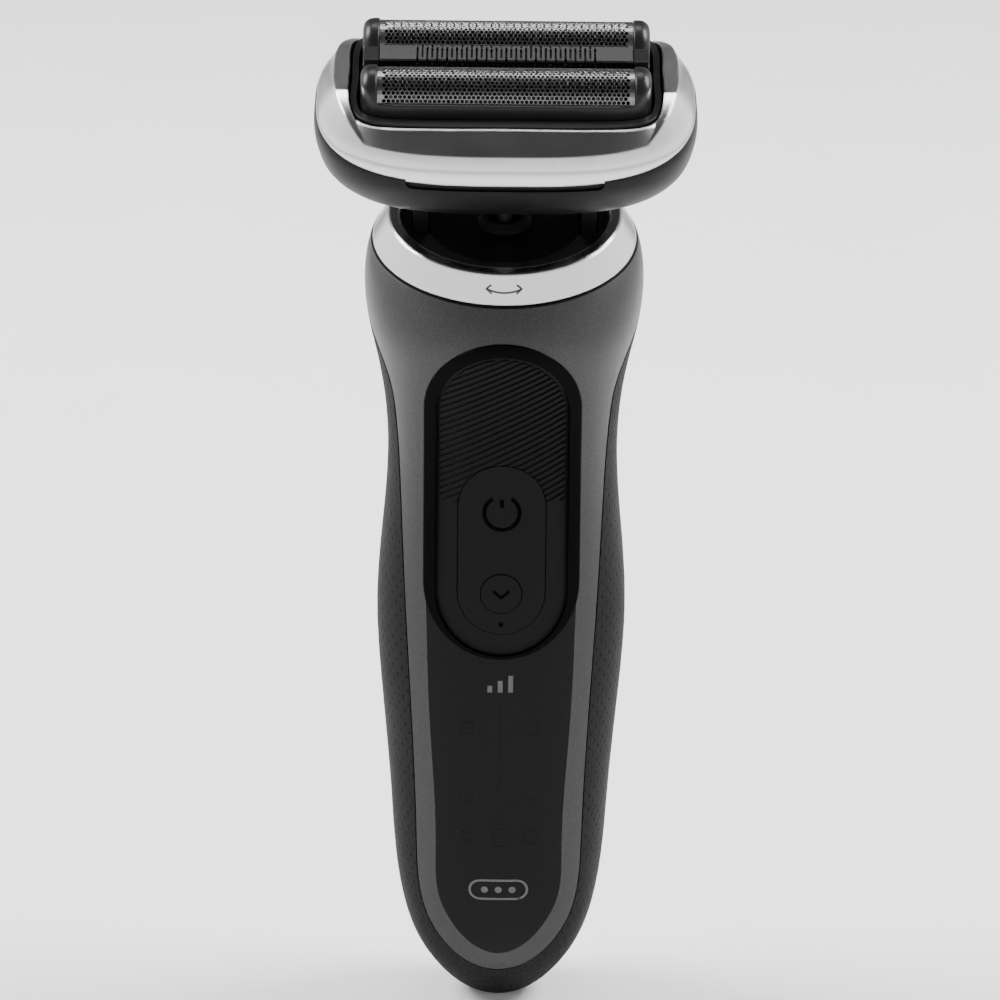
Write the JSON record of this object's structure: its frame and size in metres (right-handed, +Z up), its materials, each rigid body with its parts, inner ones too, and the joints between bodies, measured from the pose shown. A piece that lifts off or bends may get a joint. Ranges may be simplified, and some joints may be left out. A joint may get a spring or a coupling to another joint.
{
  "type": "foil shaver",
  "caption": "Cordless foil shaver with a swivelling rimmed head, floating foils, middle trimmer, collar ring, rubber grip and front button pad.",
  "frame": {"origin": "centre of the power inlet's mouth at the bottom of the handle", "axes": "+Z up along the handle towards the head, -Y towards the button side, +X to the right for someone facing the buttons"},
  "size_m": [0.061, 0.0484, 0.1689],
  "materials": {
    "grey_shell": "satin metallic paint",
    "dark_shell": "satin",
    "rubber": "matte",
    "screw_steel": "satin",
    "gloss_black": "gloss",
    "pad_black": "satin",
    "panel_black": "satin",
    "diffuser_white": "frosted",
    "satin_silver": "satin",
    "neck_black": "satin",
    "fork_grey": "satin",
    "chassis_plastic": "matte",
    "cell_wrap": "satin",
    "nickel": "satin",
    "board_green": "satin",
    "led_clear": "gloss",
    "core_steel": "satin",
    "coil_copper": "satin",
    "inlet_black": "matte",
    "foil_steel": "satin",
    "cutter_steel": "satin",
    "frame_black": "satin",
    "comb_steel": "satin",
    "spring_steel": "satin"
  },
  "bodies": {
    "handle": {"front_housing": "grey_shell", "rear_housing": "dark_shell", "grip_cover": "rubber", "housing_screws": "screw_steel", "button_bezel": "gloss_black", "display_panel": "panel_black", "control_pad": "pad_black", "display_diffuser": "diffuser_white", "collar_ring": "satin_silver", "neck_cover": "neck_black", "shaft_seal": "rubber", "pivot_fork": "fork_grey", "fork_screws": "screw_steel", "chassis": "chassis_plastic", "battery_cell": "cell_wrap", "battery_tabs": "nickel", "main_board": "board_green", "tact_switches": "pad_black", "status_leds": "led_clear", "motor_stator": "core_steel", "motor_coil": "coil_copper", "inlet_housing": "inlet_black", "inlet_pins": "nickel", "inlet_seal": "rubber"},
    "power_button": {"power_button": "pad_black"},
    "function_button": {"function_button": "pad_black"},
    "drive": {"motor_armature": "core_steel", "drive_arm": "screw_steel"},
    "gimbal": {"gimbal_ring": "fork_grey", "gimbal_pins": "screw_steel"},
    "head": {"head_base": "neck_black", "head_trim": "satin_silver", "bridge_guides": "screw_steel"},
    "drive_bridge": {"drive_bridge": "chassis_plastic"},
    "release_left": {"release_button_left": "neck_black"},
    "release_right": {"release_button_right": "neck_black"},
    "cassette": {"cassette_frame": "frame_black", "front_foil_springs": "spring_steel", "rear_foil_springs": "spring_steel", "trimmer_springs": "spring_steel"},
    "front_unit": {"front_foil_frame": "frame_black", "front_foil": "foil_steel"},
    "rear_unit": {"rear_foil_frame": "frame_black", "rear_foil": "foil_steel"},
    "trimmer_unit": {"trimmer_frame": "frame_black", "trimmer_comb": "comb_steel"},
    "front_cutter": {"front_cutter": "cutter_steel"},
    "rear_cutter": {"rear_cutter": "cutter_steel"},
    "trimmer_blade": {"trimmer_blade": "comb_steel"}
  },
  "joints": [
    {"name": "power_press", "type": "slide", "parent": "handle", "child": "power_button", "axis": [0, 1, 0], "range_m": [0, 0.0006], "stiffness_N_per_m": 900, "springref_m": -0.001},
    {"name": "function_press", "type": "slide", "parent": "handle", "child": "function_button", "axis": [0, 1, 0], "range_m": [0, 0.0006], "stiffness_N_per_m": 900, "springref_m": -0.001},
    {"name": "drive_stroke", "type": "slide", "parent": "handle", "child": "drive", "axis": [1, 0, 0], "range_m": [-0.0012, 0.0012], "stiffness_N_per_m": 2500},
    {"name": "head_tilt", "type": "hinge", "parent": "handle", "child": "gimbal", "pos_m": [0, -0.00331, 0.14894], "axis": [1, 0, 0], "range_deg": [-15, 15], "stiffness_Nm_per_rad": 0.25},
    {"name": "head_swing", "type": "hinge", "parent": "gimbal", "child": "head", "pos_m": [0, -0.00331, 0.14894], "axis": [0, 0.9613, 0.2756], "range_deg": [-6, 6], "stiffness_Nm_per_rad": 0.35},
    {"name": "bridge_stroke", "type": "slide", "parent": "head", "child": "drive_bridge", "axis": [1, 0, 0], "range_m": [-0.0012, 0.0012]},
    {"name": "release_left_press", "type": "slide", "parent": "head", "child": "release_left", "axis": [1, 0, 0], "range_m": [0, 0.001], "stiffness_N_per_m": 900, "springref_m": -0.001},
    {"name": "release_right_press", "type": "slide", "parent": "head", "child": "release_right", "axis": [-1, 0, 0], "range_m": [0, 0.001], "stiffness_N_per_m": 900, "springref_m": -0.001},
    {"name": "cassette_lift", "type": "slide", "parent": "head", "child": "cassette", "axis": [0, -0.2756, 0.9613], "range_m": [0, 0.022]},
    {"name": "front_foil_float", "type": "slide", "parent": "cassette", "child": "front_unit", "axis": [0, 0.2756, -0.9613], "range_m": [0, 0.0015], "stiffness_N_per_m": 500, "springref_m": -0.0015, "deforming": ["front_foil_springs"]},
    {"name": "rear_foil_float", "type": "slide", "parent": "cassette", "child": "rear_unit", "axis": [0, 0.2756, -0.9613], "range_m": [0, 0.0015], "stiffness_N_per_m": 500, "springref_m": -0.0015, "deforming": ["rear_foil_springs"]},
    {"name": "trimmer_float", "type": "slide", "parent": "cassette", "child": "trimmer_unit", "axis": [0, 0.2756, -0.9613], "range_m": [0, 0.0015], "stiffness_N_per_m": 500, "springref_m": -0.0015, "deforming": ["trimmer_springs"]},
    {"name": "front_cutter_stroke", "type": "slide", "parent": "front_unit", "child": "front_cutter", "axis": [1, 0, 0], "range_m": [-0.0012, 0.0012]},
    {"name": "rear_cutter_stroke", "type": "slide", "parent": "rear_unit", "child": "rear_cutter", "axis": [1, 0, 0], "range_m": [-0.0012, 0.0012]},
    {"name": "trimmer_blade_stroke", "type": "slide", "parent": "trimmer_unit", "child": "trimmer_blade", "axis": [1, 0, 0], "range_m": [-0.0012, 0.0012]}
  ],
  "couplings": [
    {"joint": "bridge_stroke", "follows": "drive_stroke", "ratio": 1},
    {"joint": "front_cutter_stroke", "follows": "drive_stroke", "ratio": 1},
    {"joint": "rear_cutter_stroke", "follows": "drive_stroke", "ratio": 1},
    {"joint": "trimmer_blade_stroke", "follows": "drive_stroke", "ratio": 1}
  ]
}
